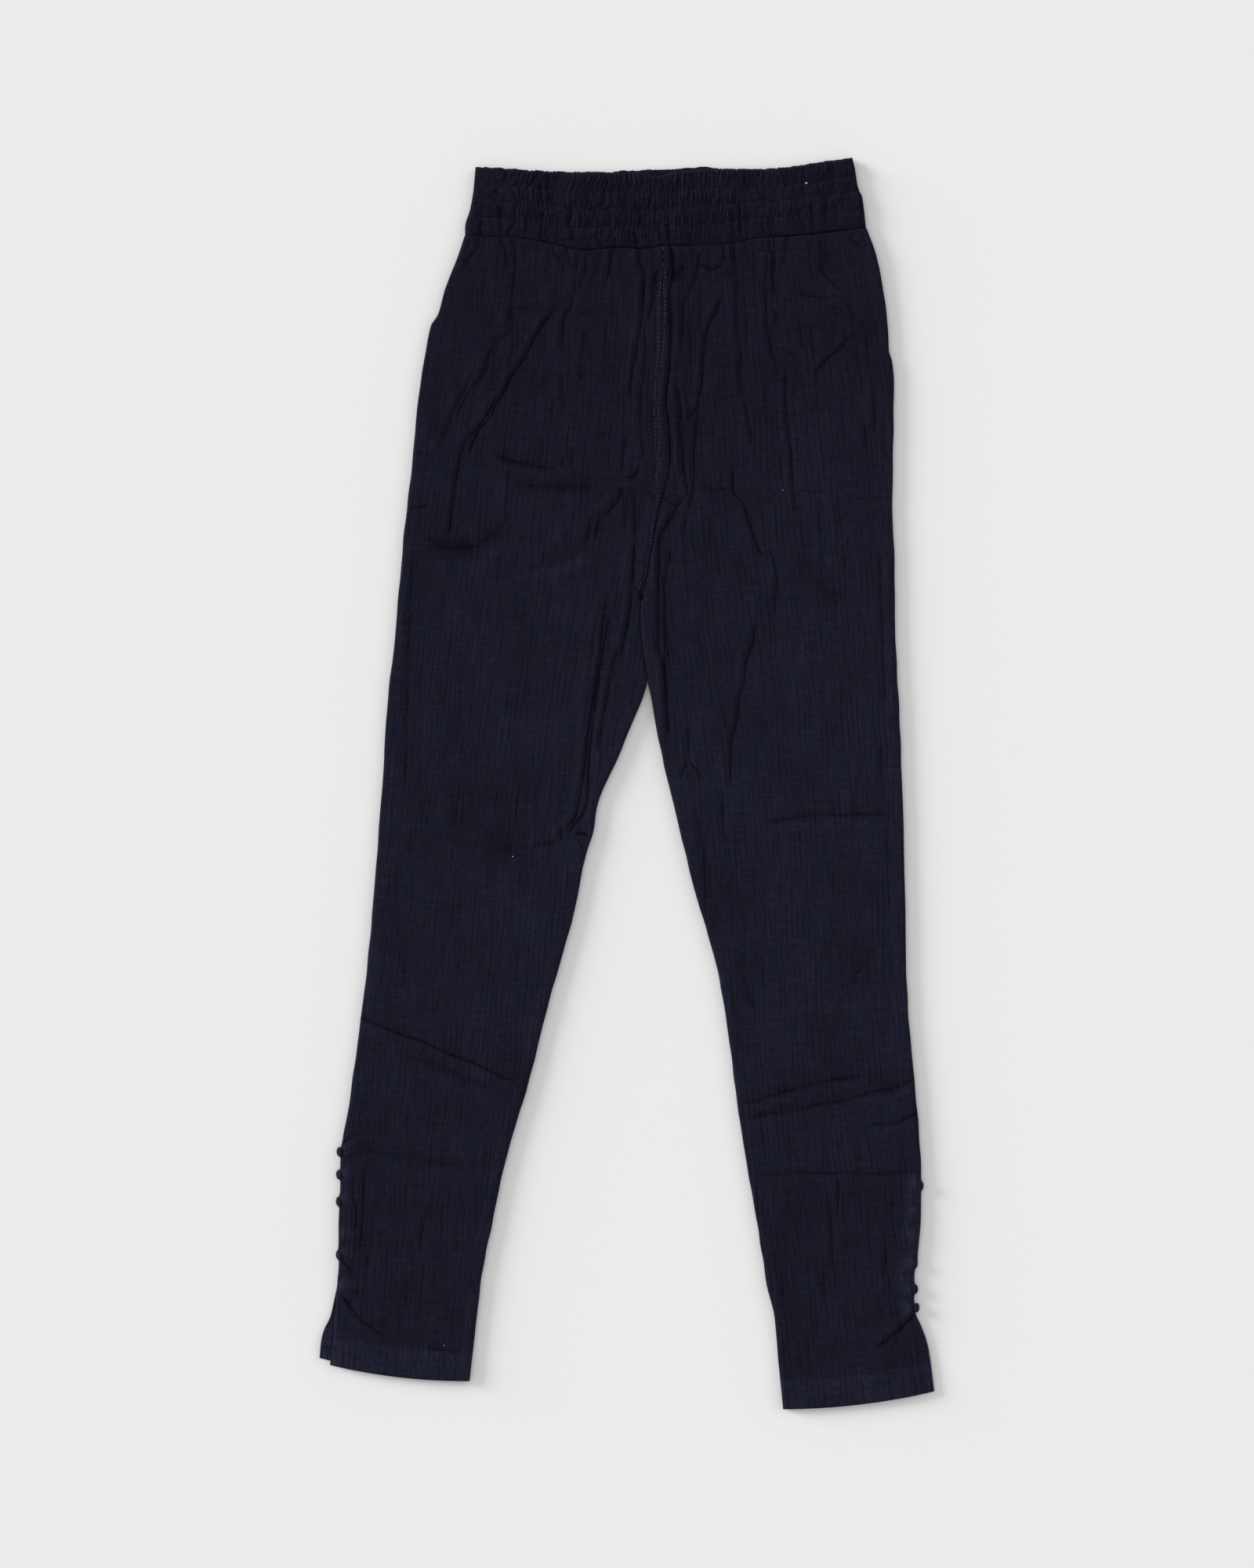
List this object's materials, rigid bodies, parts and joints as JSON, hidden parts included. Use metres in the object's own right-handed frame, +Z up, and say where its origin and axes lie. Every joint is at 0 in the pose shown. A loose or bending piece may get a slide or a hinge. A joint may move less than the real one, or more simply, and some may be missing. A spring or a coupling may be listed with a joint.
{
  "type": "tapered trousers",
  "caption": "Slim tapered pull-on trousers in striped cotton, laid flat with the front up, with a smocked elastic waistband and covered buttons at each ankle.",
  "frame": {"origin": "on the surface that the trousers lie on, below the middle of their outline", "axes": "+Y from the hems towards the waistband, +X towards the wearer's left leg, +Z up from the back panels to the front panels"},
  "size_m": [0.47, 0.9569, 0.0074],
  "materials": {
    "leg_cotton": "matt woven cotton with a fine stripe",
    "waistband_cotton": "matt woven cotton, gathered over elastic",
    "button_cotton": "matt woven cotton over a button"
  },
  "bodies": {
    "root": {"front_right": "leg_cotton", "front_left": "leg_cotton", "back_right": "leg_cotton", "back_left": "leg_cotton", "waistband_front": "waistband_cotton", "waistband_back": "waistband_cotton", "ankle_button_right_1": "button_cotton", "ankle_button_right_2": "button_cotton", "ankle_button_right_3": "button_cotton", "ankle_button_right_4": "button_cotton", "ankle_button_left_1": "button_cotton", "ankle_button_left_2": "button_cotton", "ankle_button_left_3": "button_cotton", "ankle_button_left_4": "button_cotton"}
  },
  "joints": []
}
